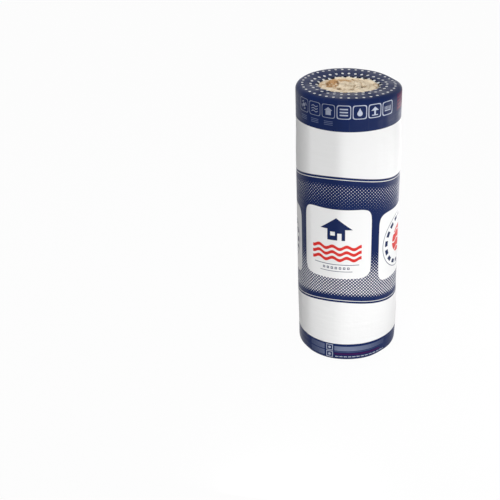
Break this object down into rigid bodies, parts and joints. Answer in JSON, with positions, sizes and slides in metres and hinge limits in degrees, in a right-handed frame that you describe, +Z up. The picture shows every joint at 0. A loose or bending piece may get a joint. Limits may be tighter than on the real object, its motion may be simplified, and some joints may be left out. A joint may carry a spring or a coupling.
{
  "type": "insulation roll",
  "caption": "Mineral-wool mat wound into a tight upright roll and packed in printed film that folds over both ends and leaves an oval of wool bare.",
  "frame": {"origin": "middle of the end face that the roll stands on", "axes": "+Z up along the roll's axis, -Y towards the side that the picture shows, +Y towards the film's lap, +X to the right in the picture"},
  "size_m": [0.4299, 0.4301, 1.2],
  "materials": {
    "wool": "matt cream-brown mineral wool",
    "film": "glossy white polyethylene film, printed in navy"
  },
  "bodies": {
    "root": {"wool_roll": "wool", "film_wrap": "film"}
  },
  "joints": []
}
